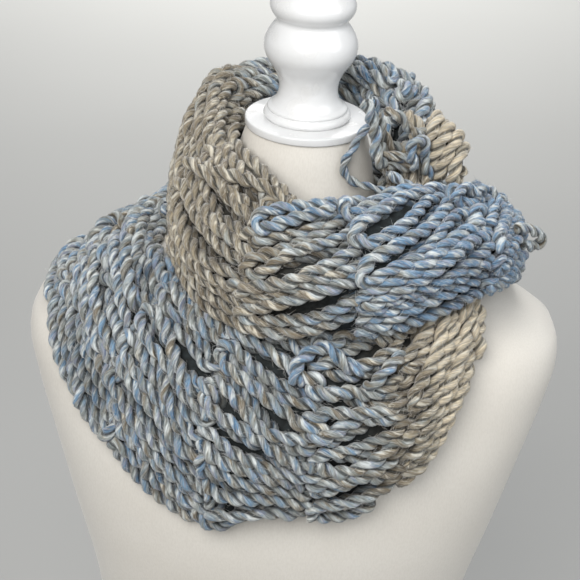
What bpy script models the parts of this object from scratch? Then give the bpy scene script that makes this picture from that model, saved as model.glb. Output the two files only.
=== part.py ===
"""Infinity scarf, arm-knitted from two-ply yarn and wound twice round a limbless dress form."""
import bpy
import math
from mathutils import Vector

# ---- frame: metres, +Z up, the front of the form faces -Y, the flat base lies on z = 0 ----
SEAM_GAP = 0.0003            # between pieces that meet

# ---- dress form ----
NECK_TOP = 0.6937            # the torso ends here, under the neck cap
FORM_SEGMENTS = 36
FORM_RINGS = 25
FORM_COLUMNS = ("height", "halfWidth", "halfDepth", "forward", "squareness")
FORM_SECTIONS = (            # one row for each height that shapes the torso
    (0.000, 0.170, 0.110, 0.000, 2.3),   # flat base at the hips
    (0.060, 0.168, 0.110, 0.000, 2.3),
    (0.150, 0.154, 0.101, 0.002, 2.3),
    (0.240, 0.143, 0.095, 0.004, 2.3),   # waist
    (0.310, 0.148, 0.101, 0.006, 2.3),
    (0.390, 0.167, 0.112, 0.010, 2.3),
    (0.450, 0.182, 0.112, 0.010, 2.4),   # chest
    (0.500, 0.196, 0.103, 0.006, 2.5),
    (0.528, 0.201, 0.095, 0.003, 2.6),   # widest, at the arm caps
    (0.547, 0.194, 0.088, 0.000, 2.6),
    (0.560, 0.168, 0.081, -0.002, 2.5),
    (0.580, 0.124, 0.070, -0.004, 2.3),
    (0.603, 0.080, 0.060, -0.004, 2.1),
    (0.630, 0.053, 0.050, -0.002, 2.0),  # foot of the neck
    (0.660, 0.045, 0.044, 0.000, 2.0),
    (0.6937, 0.042, 0.042, 0.000, 2.0),
)
CAP_RADIUS = 0.045
CAP_THICKNESS = 0.006
CAP_EDGE = 0.0012
CAP_SEGMENTS = 32
TURNED_STEPS = 24
FINIAL_COLUMNS = ("radius", "height", "bow", "steps")
FINIAL_PROFILE = (           # from the foot up; bow swells the stretch below each row
    (0.0302, 0.0000, 0.0000, 1),
    (0.0302, 0.0055, 0.0016, 3),         # rounded foot
    (0.0286, 0.0062, 0.0000, 1),
    (0.0286, 0.0088, 0.0006, 2),         # first fine ring
    (0.0266, 0.0095, 0.0000, 1),
    (0.0213, 0.0230, -0.0016, 3),        # bell up to the waist
    (0.0258, 0.0370, -0.0010, 3),
    (0.0258, 0.0720, 0.0080, 7),         # bulb
    (0.0275, 0.0765, -0.0008, 2),        # groove
    (0.0275, 0.0920, 0.0034, 4),         # bead
    (0.0250, 0.0945, 0.0000, 1),
    (0.0000, 0.1120, 0.0062, 5),         # rounded knob
)

# ---- scarf ----
WALL = 0.0065                # plain cloth between the raised stitches
RIDGE = 0.0055               # how far a stitch stands up from it
WALES = 8                    # stitches across the band
STEPS_PER_ROW = 5            # wall sections along one knitted row
FORM_CLEARANCE = 0.0014      # cloth to torso at the wall's points, where it lies on it
FOLD_SHARE = 0.98            # nearer than this to the wrong part of the outer face, a spot is in a fold
LEAST_SPREAD = 0.45          # of the outer face's spacing, kept in the furrows of a tight bend
VALLEY_SHARE = 0.30          # of a stitch's width
FLANK_SHARE = 0.20
LEAN = 0.10                  # how far the loops of one stitch part from the next, in stitch widths
DRIFT = 0.05                 # slow sideways wander of the stitches, in stitch widths
SEAM_ANGLE = 0.23            # degrees left open between two stretches

# The band runs round the neck axis; angle 0 is the front, 90 the viewer's right, and it turns twice.
ROW_ANGLES = (80, 128, 182, 238, 290, 343, 378, 418, 450, 490, 530, 570, 610,
              640, 669, 698, 727, 752, 776, 800)
BAND_COLUMNS = ("angle", "edgeR", "edgeZ", "crestR", "crestZ", "swellR", "swellZ", "hemR", "hemZ")
BAND_SECTIONS = (            # one row for each section; radii and heights of four points across it
    (80, 0.054, 0.660, 0.068, 0.686, 0.084, 0.676, 0.094, 0.646),
    (100, 0.056, 0.670, 0.071, 0.702, 0.091, 0.694, 0.104, 0.652),
    (120, 0.058, 0.677, 0.079, 0.714, 0.106, 0.707, 0.115, 0.656),
    (150, 0.058, 0.681, 0.077, 0.719, 0.101, 0.710, 0.116, 0.655),
    (180, 0.057, 0.680, 0.075, 0.714, 0.096, 0.706, 0.113, 0.652),
    (210, 0.056, 0.681, 0.075, 0.713, 0.097, 0.702, 0.112, 0.648),
    (240, 0.055, 0.680, 0.075, 0.713, 0.099, 0.700, 0.110, 0.642),
    (270, 0.053, 0.669, 0.069, 0.701, 0.095, 0.681, 0.106, 0.631),
    (300, 0.057, 0.657, 0.074, 0.687, 0.104, 0.661, 0.112, 0.611),
    (325, 0.062, 0.648, 0.080, 0.678, 0.122, 0.644, 0.126, 0.594),
    (345, 0.065, 0.644, 0.084, 0.672, 0.135, 0.640, 0.137, 0.588),
    (360, 0.066, 0.643, 0.086, 0.669, 0.145, 0.639, 0.142, 0.589),
    (385, 0.070, 0.648, 0.090, 0.676, 0.153, 0.646, 0.149, 0.594),
    (410, 0.088, 0.658, 0.107, 0.682, 0.164, 0.653, 0.161, 0.606),
    (430, 0.112, 0.654, 0.130, 0.673, 0.172, 0.648, 0.172, 0.600),
    (450, 0.116, 0.636, 0.133, 0.659, 0.168, 0.636, 0.179, 0.580),
    (480, 0.108, 0.610, 0.126, 0.631, 0.158, 0.602, 0.170, 0.547),
    (510, 0.102, 0.604, 0.120, 0.624, 0.146, 0.590, 0.150, 0.522),
    (540, 0.098, 0.604, 0.116, 0.624, 0.140, 0.586, 0.140, 0.515),
    (570, 0.100, 0.603, 0.119, 0.623, 0.148, 0.588, 0.150, 0.518),
    (600, 0.102, 0.600, 0.122, 0.620, 0.160, 0.598, 0.174, 0.536),
    (630, 0.101, 0.596, 0.120, 0.616, 0.162, 0.603, 0.187, 0.554),
    (650, 0.100, 0.591, 0.119, 0.609, 0.165, 0.591, 0.184, 0.532),
    (670, 0.100, 0.586, 0.120, 0.597, 0.168, 0.550, 0.170, 0.468),
    (690, 0.102, 0.579, 0.123, 0.584, 0.166, 0.520, 0.149, 0.436),
    (720, 0.104, 0.576, 0.128, 0.579, 0.164, 0.522, 0.143, 0.439),
    (740, 0.108, 0.578, 0.133, 0.583, 0.170, 0.528, 0.156, 0.455),
    (755, 0.106, 0.586, 0.134, 0.593, 0.176, 0.550, 0.173, 0.488),
    (768, 0.100, 0.597, 0.126, 0.604, 0.165, 0.577, 0.180, 0.530),
    (780, 0.084, 0.620, 0.107, 0.629, 0.138, 0.605, 0.156, 0.570),
    (792, 0.064, 0.647, 0.082, 0.667, 0.100, 0.654, 0.110, 0.624),
    (800, 0.054, 0.660, 0.068, 0.686, 0.084, 0.676, 0.094, 0.646),
)
OPEN_GAPS = {                # knitted row: the furrows between stitches that stand open
    0: (4,), 1: (3, 5), 2: (4,), 3: (3, 5), 4: (4, 6), 5: (3, 5, 7), 6: (2, 4, 6), 7: (3, 5),
    8: (2, 6), 9: (3, 5), 10: (2, 6), 11: (3, 5), 12: (2, 6), 13: (1, 3, 5), 14: (2, 4),
    15: (1, 3, 5), 16: (2, 4), 17: (3,),
}
STRETCHES = (                # node, first and last knitted row
    ("scarf_neck_loop", 0, 2),
    ("scarf_upper_front_wrap", 3, 7),
    ("scarf_back_wrap", 8, 11),
    ("scarf_lower_front_wrap", 12, 16),
    ("scarf_right_rise", 17, 18),
)
KNOT = {"angle": 78.0, "radius": 0.0960, "height": 0.6908, "long": 0.0290, "wide": 0.0180,
        "deep": 0.0200, "turns": 5, "groove": 0.12, "lean": -35.0}


def removeStartObjects():
    for item in list(bpy.data.objects):
        bpy.data.objects.remove(item, do_unlink=True)


def makeCollection(name):
    group = bpy.data.collections.new(name)
    bpy.context.scene.collection.children.link(group)
    return group


def makeMaterial(name, colour, roughness, metallic=0.0):
    material = bpy.data.materials.new(name)
    material.use_nodes = True
    shader = material.node_tree.nodes["Principled BSDF"]
    shader.inputs["Base Color"].default_value = (*colour, 1.0)
    shader.inputs["Roughness"].default_value = roughness
    shader.inputs["Metallic"].default_value = metallic
    return material


def makeObject(name, points, faces, material, group):
    mesh = bpy.data.meshes.new(name)
    mesh.from_pydata(points, [], faces)
    mesh.materials.append(material)
    mesh.shade_smooth()
    item = bpy.data.objects.new(name, mesh)
    group.objects.link(item)
    return item


def rowAt(columns, rows, place):
    """Values of a table between its rows, on a smooth curve through them; the first column is the place."""
    places = [row[0] for row in rows]
    last = len(rows) - 1
    after = next((i for i in range(1, last) if places[i] >= place), last)
    before = after - 1
    span = places[after] - places[before]
    t = (place - places[before]) / span
    values = {columns[0]: place}
    for column in range(1, len(columns)):
        def slopeAt(i):
            low, high = max(i - 1, 0), min(i + 1, last)
            return (rows[high][column] - rows[low][column]) / (places[high] - places[low]) * span
        start, end = rows[before][column], rows[after][column]
        values[columns[column]] = (
            (2 * t ** 3 - 3 * t ** 2 + 1) * start + (t ** 3 - 2 * t ** 2 + t) * slopeAt(before)
            + (3 * t ** 2 - 2 * t ** 3) * end + (t ** 3 - t ** 2) * slopeAt(after))
    return values


def formSection(height):
    return rowAt(FORM_COLUMNS, FORM_SECTIONS, min(max(height, 0.0), NECK_TOP))


def outsideForm(point):
    """Level distance from the torso's skin, positive outside it."""
    size = formSection(point.z)
    across, along = point.x, point.y + size["forward"]
    power = size["squareness"]
    share = (abs(across / size["halfWidth"]) ** power + abs(along / size["halfDepth"]) ** power) ** (1 / power)
    return math.hypot(across, along) * (1.0 - 1.0 / max(share, 1e-6))


def spotInSection(angle, radius, height):
    turn = math.radians(angle)
    return Vector((radius * math.sin(turn), -radius * math.cos(turn), height))


def clearOfForm(angle, spot):
    """The spot (radius, height) of the section at this angle, moved out until it is clear of the torso."""
    nudge = 0.0004
    for _ in range(12):
        away = outsideForm(spotInSection(angle, spot.x, spot.y))
        slope = Vector(((outsideForm(spotInSection(angle, spot.x + nudge, spot.y)) - away) / nudge,
                        (outsideForm(spotInSection(angle, spot.x, spot.y + nudge)) - away) / nudge))
        short = FORM_CLEARANCE - away / slope.length
        if short <= 0.00002:
            break
        spot = spot + slope.normalized() * min(short, 0.004)
    return spot


def bandSection(angle, places):
    """Spots (radius, height) of the band's outer face at this angle, for places from 0 (neck edge) to 1 (hem)."""
    size = rowAt(BAND_COLUMNS, BAND_SECTIONS, angle)
    corners = [(size["edgeR"], size["edgeZ"]), (size["crestR"], size["crestZ"]),
               (size["swellR"], size["swellZ"]), (size["hemR"], size["hemZ"])]
    reach = [0.0]
    for low, high in zip(corners, corners[1:]):
        reach.append(reach[-1] + math.dist(low, high))
    table = [(place / reach[-1], *corner) for place, corner in zip(reach, corners)]
    spots = [rowAt(("across", "radius", "height"), table, place) for place in places]
    return [Vector((spot["radius"], spot["height"])) for spot in spots]


def outwards(spots):
    """Directions out of a section's curve at each of its spots."""
    last = len(spots) - 1
    runs = [spots[min(i + 1, last)] - spots[max(i - 1, 0)] for i in range(last + 1)]
    return [Vector((-run.y, run.x)).normalized() for run in runs]


def unfolded(line, skin, places):
    """The wall's inner line without its folds: inside a tight bend, spots that come nearer to another part of the
    outer face than to their own are spread between their neighbours, so that the wall doesn't cross itself."""
    line = list(line)
    last = len(line) - 1
    folded = {i for i, spot in enumerate(line)
              if min((spot - face).length for face in skin) < FOLD_SHARE * (spot - skin[i]).length}
    folded |= {i for i in range(last) if (line[i + 1] - line[i]).dot(skin[i + 1] - skin[i]) <= 0.0}
    tight = {i for spot in folded for i in range(spot - 1, spot + 3)} & set(range(1, last))
    for i in sorted(tight):
        if i - 1 not in tight:
            start = i - 1
            end = next(j for j in range(i, last + 1) if j not in tight)
        share = (places[i] - places[start]) / (places[end] - places[start])
        line[i] = line[start].lerp(line[end], share)
    return line


def spreadOut(line, skin, places):
    """The wall's outer line with each spot a little further along than the one before it, in a tight bend too."""
    line = list(line)
    for _ in range(40):
        steps = [after - before for before, after in zip(skin, skin[1:])]
        tight = {near for i, step in enumerate(steps)
                 if (line[i + 1] - line[i]).dot(step) < LEAST_SPREAD * step.length_squared for near in (i, i + 1)}
        for i in sorted(tight & set(range(1, len(line) - 1))):
            share = (places[i] - places[i - 1]) / (places[i + 1] - places[i - 1])
            line[i] = line[i].lerp(line[i - 1].lerp(line[i + 1], share), 0.5)
    return line


def columnPlaces(row, share):
    """Places of the wall's columns across the band: furrow, flank, crest and flank of each stitch."""
    width = 1.0 / WALES
    places = [0.0]
    for wale in range(WALES):
        parting = LEAN * (-1) ** (wale + row) * math.sin(math.pi * share)
        wander = width * (parting + DRIFT * math.sin(1.9 * wale + 1.3 * (row + share)))
        low, high = width * VALLEY_SHARE / 2, width * (1 - VALLEY_SHARE / 2)
        start = width * wale + wander
        places += [start + low - wander * (wale == 0), start + low + width * FLANK_SHARE,
                   start + high - width * FLANK_SHARE, start + high - wander * (wale == WALES - 1)]
    return places + [1.0]


def raisedShare(row, share, column):
    """How high a column stands: crests only, full at the middle of a loop and drawn in at its ends."""
    if column % 4 in (0, 1):
        return 0.0
    wale = column // 4
    return (0.35 + 0.65 * math.sin(math.pi * share)) * (0.88 + 0.12 * math.sin(2.7 * row + 1.7 * wale))


def closedWall(inner, outer, faces):
    """All faces of the wall between two grids of points, with a side along each free edge."""
    edges = {(face[i], face[(i + 1) % 4]) for face in faces for i in range(4)}
    count = len(inner)
    walls = [tuple(corner + count for corner in face) for face in faces]
    walls += [tuple(reversed(face)) for face in faces]
    walls += [(b + count, a + count, a, b) for a, b in sorted(edges) if (b, a) not in edges]
    return inner + outer, walls


def buildStretch(name, firstRow, lastRow, material, group):
    columns = 4 * WALES + 2
    inner, outer, faces = [], [], []
    sections = [(row, step / STEPS_PER_ROW) for row in range(firstRow, lastRow + 1)
                for step in range(STEPS_PER_ROW)] + [(lastRow, 1.0)]
    for index, (row, share) in enumerate(sections):
        angle = ROW_ANGLES[row] + (ROW_ANGLES[row + 1] - ROW_ANGLES[row]) * share
        angle += SEAM_ANGLE / 2 * ((index == 0) - (index == len(sections) - 1))
        places = columnPlaces(row, share)
        skin = bandSection(angle, places)
        outs = outwards(skin)
        backs = unfolded([spot - out * (WALL + RIDGE) for spot, out in zip(skin, outs)], skin, places)
        cleared = [clearOfForm(angle, back) for back in backs]
        skin = [spot + after - before for spot, before, after in zip(skin, backs, cleared)]
        backs = [clearOfForm(angle, back) for back in unfolded(cleared, skin, places)]
        fronts = [face - out * RIDGE * (1 - raisedShare(row, share, column))
                  for column, (face, out) in enumerate(zip(skin, outwards(skin)))]
        inner += [spotInSection(angle, *back) for back in backs]
        outer += [spotInSection(angle, *front) for front in spreadOut(fronts, skin, places)]
    for index, (row, share) in enumerate(sections[:-1]):
        for column in range(columns - 1):
            isFurrow = column % 4 == 0
            isMiddle = 0 < share < 1 - 1.5 / STEPS_PER_ROW
            if isFurrow and isMiddle and column // 4 in OPEN_GAPS.get(row, ()):
                continue
            corner = index * columns + column
            faces.append((corner, corner + 1, corner + columns + 1, corner + columns))
    points, walls = closedWall(inner, outer, faces)
    return makeObject(name, points, walls, material, group)


def buildFormBody(material, group):
    points, faces = [], []
    for ring in range(FORM_RINGS):
        size = formSection(ringHeight(ring))
        for segment in range(FORM_SEGMENTS):
            turn = 2 * math.pi * segment / FORM_SEGMENTS
            side, front = math.sin(turn), math.cos(turn)
            power = 2.0 / size["squareness"]
            points.append((size["halfWidth"] * math.copysign(abs(side) ** power, side),
                           -size["halfDepth"] * math.copysign(abs(front) ** power, front) - size["forward"],
                           size["height"]))
    for ring in range(FORM_RINGS - 1):
        for segment in range(FORM_SEGMENTS):
            low, high = ring * FORM_SEGMENTS, (ring + 1) * FORM_SEGMENTS
            after = (segment + 1) % FORM_SEGMENTS
            faces.append((low + segment, low + after, high + after, high + segment))
    faces.append(tuple(reversed(range(FORM_SEGMENTS))))
    faces.append(tuple(range((FORM_RINGS - 1) * FORM_SEGMENTS, FORM_RINGS * FORM_SEGMENTS)))
    body = makeObject("form_body", points, faces, material, group)
    body.data.set_sharp_from_angle(angle=math.radians(50))
    return body


def ringHeight(ring):
    """Rings of the torso: wide apart on the trunk, close together over the shoulders and the neck."""
    trunkRings = 11
    shoulderStart = 0.500
    if ring <= trunkRings:
        return shoulderStart * ring / trunkRings
    return shoulderStart + (NECK_TOP - shoulderStart) * (ring - trunkRings) / (FORM_RINGS - 1 - trunkRings)


def buildNeckCap(material, group):
    bpy.ops.mesh.primitive_cylinder_add(vertices=CAP_SEGMENTS, radius=CAP_RADIUS, depth=CAP_THICKNESS,
                                        location=(0, 0, NECK_TOP + SEAM_GAP + CAP_THICKNESS / 2))
    cap = bpy.context.object
    cap.name = cap.data.name = "form_neck_cap"
    cap.data.materials.append(material)
    edge = cap.modifiers.new("rounded rim", "BEVEL")
    edge.width = CAP_EDGE
    edge.segments = 2
    cap.data.shade_smooth()
    cap.data.set_sharp_from_angle(angle=math.radians(35))
    for owner in list(cap.users_collection):
        owner.objects.unlink(cap)
    group.objects.link(cap)
    return cap


def bowedStretch(start, end, bow, steps):
    """Points after start up to end, on an arc that swells out by bow at its middle."""
    line = Vector(end) - Vector(start)
    normal = Vector((line.y, -line.x)).normalized()
    for step in range(1, steps + 1):
        share = step / steps
        yield Vector(start) + line * share + normal * bow * math.sin(math.pi * share)


def buildFinial(material, group):
    rows = [dict(zip(FINIAL_COLUMNS, row)) for row in FINIAL_PROFILE]
    outline = [Vector((0.0, 0.0)), Vector((rows[0]["radius"], 0.0))]
    for row in rows[1:]:
        outline += bowedStretch(outline[-1], (row["radius"], row["height"]), row["bow"], row["steps"])
    outline.reverse()
    mesh = bpy.data.meshes.new("form_finial")
    mesh.from_pydata([(max(spot.x, 0.0), 0.0, spot.y) for spot in outline],
                     [(i, i + 1) for i in range(len(outline) - 1)], [])
    finial = bpy.data.objects.new("form_finial", mesh)
    finial.location.z = NECK_TOP + SEAM_GAP * 2 + CAP_THICKNESS
    group.objects.link(finial)
    turned = finial.modifiers.new("turned", "SCREW")
    turned.steps = turned.render_steps = TURNED_STEPS
    turned.use_merge_vertices = True
    turned.merge_threshold = 0.00001
    mesh.materials.append(material)
    return finial


def buildSeamKnot(material, group):
    """A clump of wound yarn: an egg whose skin is raised in slanting turns."""
    rings, segments = 12, 20
    bpy.ops.mesh.primitive_uv_sphere_add(segments=segments, ring_count=rings, radius=1.0)
    knot = bpy.context.object
    knot.name = knot.data.name = "scarf_seam_knot"
    turn = math.radians(KNOT["angle"])
    centre = Vector((KNOT["radius"] * math.sin(turn), -KNOT["radius"] * math.cos(turn), KNOT["height"]))
    lean = math.radians(KNOT["lean"])
    for vertex in knot.data.vertices:
        spot = vertex.co.copy()
        around = math.atan2(spot.y, spot.x)
        wound = 1.0 + KNOT["groove"] * math.sqrt(max(1 - spot.z ** 2, 0.0)) * math.sin(
            KNOT["turns"] * math.pi * spot.z + around)
        spot = Vector((spot.x * KNOT["deep"] * wound, spot.y * KNOT["wide"] * wound, spot.z * KNOT["long"]))
        tilted = Vector((spot.x * math.cos(lean) + spot.z * math.sin(lean), spot.y,
                         spot.z * math.cos(lean) - spot.x * math.sin(lean)))
        vertex.co = centre + tilted
    knot.data.materials.append(material)
    knot.data.shade_smooth()
    for owner in list(knot.users_collection):
        owner.objects.unlink(knot)
    group.objects.link(knot)
    return knot


def main():
    removeStartObjects()
    group = makeCollection("infinity_scarf_on_dress_form")
    jersey = makeMaterial("cream jersey", (0.76, 0.72, 0.65), 0.85)
    paint = makeMaterial("white gloss paint", (0.78, 0.78, 0.77), 0.22)
    yarn = makeMaterial("blue and beige yarn", (0.34, 0.37, 0.40), 0.90)
    beige = makeMaterial("beige yarn", (0.40, 0.34, 0.27), 0.90)
    buildFormBody(jersey, group)
    buildNeckCap(paint, group)
    buildFinial(paint, group)
    for name, firstRow, lastRow in STRETCHES:
        buildStretch(name, firstRow, lastRow, yarn, group)
    buildSeamKnot(beige, group)


main()
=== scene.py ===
import bpy
import bmesh
import math
import random
import numpy as np
from mathutils import Matrix, Vector
from mathutils.kdtree import KDTree


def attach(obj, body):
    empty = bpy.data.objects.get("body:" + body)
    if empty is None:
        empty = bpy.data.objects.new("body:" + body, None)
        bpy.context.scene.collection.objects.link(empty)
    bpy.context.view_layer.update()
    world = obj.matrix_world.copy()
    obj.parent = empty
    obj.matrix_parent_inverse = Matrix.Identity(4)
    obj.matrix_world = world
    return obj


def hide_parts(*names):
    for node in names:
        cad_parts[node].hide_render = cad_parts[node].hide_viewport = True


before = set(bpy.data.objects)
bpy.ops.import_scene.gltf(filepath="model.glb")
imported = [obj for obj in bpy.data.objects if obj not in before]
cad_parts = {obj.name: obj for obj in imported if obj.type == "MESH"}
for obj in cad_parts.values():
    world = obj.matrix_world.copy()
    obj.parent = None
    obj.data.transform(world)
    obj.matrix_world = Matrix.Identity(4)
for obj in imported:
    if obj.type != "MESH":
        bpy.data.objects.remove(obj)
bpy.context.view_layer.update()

print("frame loaded with", len(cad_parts), "solids")


def linked(name, data):  # a new object with this data, in the scene
    item = bpy.data.objects.new(name, data)
    bpy.context.scene.collection.objects.link(item)
    return item


# camera first: the close view that the scarf is shown in
view = {"place": (-0.0049, -1.2216, 1.1802), "pitch": 63.0, "roll": 3.3,  # metres, degrees
        "lens": 111.72, "sensor": 36.0}  # millimetres
camera = linked("camera", bpy.data.cameras.new("camera"))
camera.data.lens, camera.data.sensor_width = view["lens"], view["sensor"]
camera.matrix_world = (Matrix.Translation(view["place"])
                       @ Matrix.Rotation(math.radians(view["pitch"]), 4, "X")
                       @ Matrix.Rotation(math.radians(view["roll"]), 4, "Z"))
bpy.context.scene.camera = camera


class Wire:  # one socket of a node tree; arithmetic on it adds Math nodes
    def __init__(self, tree, socket=None):
        self.tree, self.socket = tree, socket

    def add(self, kind, settings=None, inputs=None, output=0):  # every node comes from here
        item = self.tree.nodes.new(kind)
        for name, value in (settings or {}).items():
            setattr(item, name, value)
        for name, value in (inputs or {}).items():
            if isinstance(value, Wire):
                self.tree.links.new(value.socket, item.inputs[name])
            else:
                item.inputs[name].default_value = value
        return Wire(self.tree, item.outputs[output])

    def maths(self, operation, first, second=0.0):
        return self.add("ShaderNodeMath", {"operation": operation}, {0: first, 1: second})

    def __add__(self, other):
        return self.maths("ADD", self, other)

    def __sub__(self, other):
        return self.maths("SUBTRACT", self, other)

    def __rsub__(self, other):
        return self.maths("SUBTRACT", other, self)

    def __mul__(self, other):
        return self.maths("MULTIPLY", self, other)

    __radd__, __rmul__ = __add__, __mul__

    def ramped(self, low, high, start=0.0, end=1.0):  # eased from start to end, between low and high
        return self.add("ShaderNodeMapRange", {"interpolation_type": "SMOOTHSTEP"},
                        {"Value": self, "From Min": low, "From Max": high, "To Min": start, "To Max": end})

    def blend(self, first, second, mode="MIX"):  # two colours, mixed by this
        first, second = (value if isinstance(value, Wire) else (*value, 1.0) for value in (first, second))
        return self.add("ShaderNodeMix", {"data_type": "RGBA", "blend_type": mode},
                        {0: self, 6: first, 7: second}, 2)

    def noise(self, vector, scale, detail=2.0, rough=0.5):
        return self.add("ShaderNodeTexNoise", None,
                        {"Vector": vector, "Scale": scale, "Detail": detail, "Roughness": rough})

    def stretched(self, scale):  # this vector, scaled for each axis
        return self.add("ShaderNodeMapping", None, {"Vector": self, "Scale": scale})

    def bump(self, strength, distance):  # this height, as a change of the surface's normal
        return self.add("ShaderNodeBump", None, {"Height": self, "Strength": strength, "Distance": distance})

    def objectPlace(self):
        return self.add("ShaderNodeTexCoord", output=3)

    def attribute(self, name, output=2):  # output 1 is its vector, 2 its value
        return self.add("ShaderNodeAttribute", {"attribute_name": name}, output=output)


def makeFinish(name, fixed, varying):  # a material; varying(wire) gives what changes over its surface
    material = bpy.data.materials.new(name)
    material.use_nodes = True
    shader = material.node_tree.nodes["Principled BSDF"]
    for socket, value in fixed.items():
        shader.inputs[socket].default_value = value
    for socket, wire in varying(Wire(material.node_tree)).items():
        material.node_tree.links.new(wire.socket, shader.inputs[socket])
    return material


def pieceFrom(name, mesh, material, nodes, crease=None):  # crease: degrees from which an edge is sharp
    if isinstance(mesh, bmesh.types.BMesh):
        shape, mesh = mesh, bpy.data.meshes.new(name)
        shape.to_mesh(mesh)
        shape.free()
    mesh.name = name
    mesh.materials.clear()
    mesh.materials.append(material)
    mesh.shade_smooth()
    if crease:
        mesh.set_sharp_from_angle(angle=math.radians(crease))
    piece = linked(name, mesh)
    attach(piece, "root")
    if nodes:
        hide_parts(*nodes)
    return piece


def tableAt(rows, places):  # smooth line through a table's rows, whose first column is the place
    rows, places = np.array(rows, float), np.atleast_1d(np.asarray(places, float))
    at, last = rows[:, 0], len(rows) - 1
    low, high = np.maximum(np.arange(last + 1) - 1, 0), np.minimum(np.arange(last + 1) + 1, last)
    slopes = (rows[high, 1:] - rows[low, 1:]) / (at[high] - at[low])[:, None]
    after = np.clip(np.searchsorted(at, places), 1, last)
    before = after - 1
    span = (at[after] - at[before])[:, None]
    t = (places - at[before])[:, None] / span
    return ((2 * t ** 3 - 3 * t ** 2 + 1) * rows[before, 1:]
            + (t ** 3 - 2 * t ** 2 + t) * span * slopes[before]
            + (3 * t ** 2 - 2 * t ** 3) * rows[after, 1:]
            + (t ** 3 - t ** 2) * span * slopes[after])


def unit(value):  # the value, kept from 0 to 1
    return min(max(value, 0.0), 1.0)


# dress form: torso, neck cap and finial
torso = {
    "neckTop": 0.6937, "segments": 112, "rings": 78,
    "crowding": 1.35,  # above 1, rings lie closer towards the neck
    "crease": 50,
    "sections": (  # height, half width, half depth, forward, squareness
        (0.000, 0.170, 0.110, 0.000, 2.3), (0.060, 0.168, 0.110, 0.000, 2.3),
        (0.150, 0.154, 0.101, 0.002, 2.3), (0.240, 0.143, 0.095, 0.004, 2.3),
        (0.310, 0.148, 0.101, 0.006, 2.3), (0.390, 0.167, 0.112, 0.010, 2.3),
        (0.450, 0.182, 0.112, 0.010, 2.4), (0.500, 0.196, 0.103, 0.006, 2.5),
        (0.528, 0.201, 0.095, 0.003, 2.6), (0.547, 0.194, 0.088, 0.000, 2.6),
        (0.560, 0.168, 0.081, -0.002, 2.5), (0.580, 0.124, 0.070, -0.004, 2.3),
        (0.603, 0.080, 0.060, -0.004, 2.1), (0.630, 0.057, 0.053, -0.002, 2.0),
        (0.660, 0.0510, 0.0475, 0.000, 2.0), (0.680, 0.0470, 0.0455, 0.000, 2.0),
        (0.6937, 0.0430, 0.0430, 0.000, 2.0))}


def outsideForm(points):  # level distance from the torso's skin, positive outside it
    wide, deep, forward, power = tableAt(torso["sections"], np.clip(points[:, 2], 0.0, torso["neckTop"])).T
    across, along = points[:, 0], points[:, 1] + forward
    share = (np.abs(across / wide) ** power + np.abs(along / deep) ** power) ** (1 / power)
    return np.hypot(across, along) * (1 - 1 / np.maximum(share, 1e-6))


def movedClear(points, clear, most, nudge, inSpace=lambda spots: spots):  # points, moved off the torso
    away = outsideForm(inSpace(points))
    slope = np.stack([(outsideForm(inSpace(points + step)) - away) / nudge
                      for step in np.eye(points.shape[1]) * nudge], axis=-1)
    steep = np.maximum(np.linalg.norm(slope, axis=1), 1e-6)
    short = np.clip(clear - away / steep, 0.0, most)
    return points + slope / steep[:, None] * short[:, None]


def makeTorso(material):
    shell = bmesh.new()
    bmesh.ops.create_circle(shell, cap_ends=True, radius=1.0, segments=torso["segments"])
    ring = shell.edges[:]
    for _ in range(torso["rings"]):  # a plain tube first, one unit for each ring
        grown = bmesh.ops.extrude_edge_only(shell, edges=ring)["geom"]
        spots = {part for part in grown if isinstance(part, bmesh.types.BMVert)}
        ring = [part for part in grown if isinstance(part, bmesh.types.BMEdge) and set(part.verts) <= spots]
        bmesh.ops.translate(shell, vec=(0, 0, 1), verts=list(spots))
    bmesh.ops.contextual_create(shell, geom=ring)
    for vertex in shell.verts:
        height = torso["neckTop"] * (1 - (1 - vertex.co.z / torso["rings"]) ** torso["crowding"])
        wide, deep, forward, power = tableAt(torso["sections"], height)[0]
        vertex.co = (wide * math.copysign(abs(vertex.co.x) ** (2 / power), vertex.co.x),
                     deep * math.copysign(abs(vertex.co.y) ** (2 / power), vertex.co.y) - forward, height)
    bmesh.ops.recalc_face_normals(shell, faces=shell.faces)
    pieceFrom("dress_form_torso", shell, material, ["form_body"], torso["crease"])


neckCap = {"radius": 0.045, "thick": 0.006, "gap": 0.0003, "segments": 112,
           "edge": 0.0012, "edgeSteps": 4, "crease": 40}


def makeNeckCap(material):
    disc = bmesh.new()
    bmesh.ops.create_cone(disc, cap_ends=True, segments=neckCap["segments"], radius1=neckCap["radius"],
                          radius2=neckCap["radius"], depth=neckCap["thick"])
    rims = [edge for edge in disc.edges if abs(edge.verts[0].co.z - edge.verts[1].co.z) < 1e-6]
    bmesh.ops.bevel(disc, geom=rims, offset=neckCap["edge"], segments=neckCap["edgeSteps"], profile=0.5,
                    affect="EDGES", material=-1)
    middle = torso["neckTop"] + neckCap["gap"] + neckCap["thick"] / 2
    bmesh.ops.translate(disc, vec=(0, 0, middle), verts=disc.verts)
    pieceFrom("neck_cap_disc", disc, material, ["form_neck_cap"], neckCap["crease"])


finial = {
    "steps": 96, "crease": 38,
    "outline": (  # radius, height, bow, steps, from the foot up
        (0.0302, 0.0000, 0.0000, 1), (0.0302, 0.0055, 0.0016, 8), (0.0286, 0.0062, 0.0000, 1),
        (0.0286, 0.0088, 0.0006, 6), (0.0266, 0.0095, 0.0000, 1), (0.0213, 0.0230, -0.0016, 10),
        (0.0258, 0.0370, -0.0010, 10), (0.0258, 0.0720, 0.0080, 20), (0.0275, 0.0765, -0.0008, 6),
        (0.0275, 0.0920, 0.0034, 12), (0.0250, 0.0945, 0.0000, 1), (0.0000, 0.1120, 0.0062, 16))}


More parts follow.
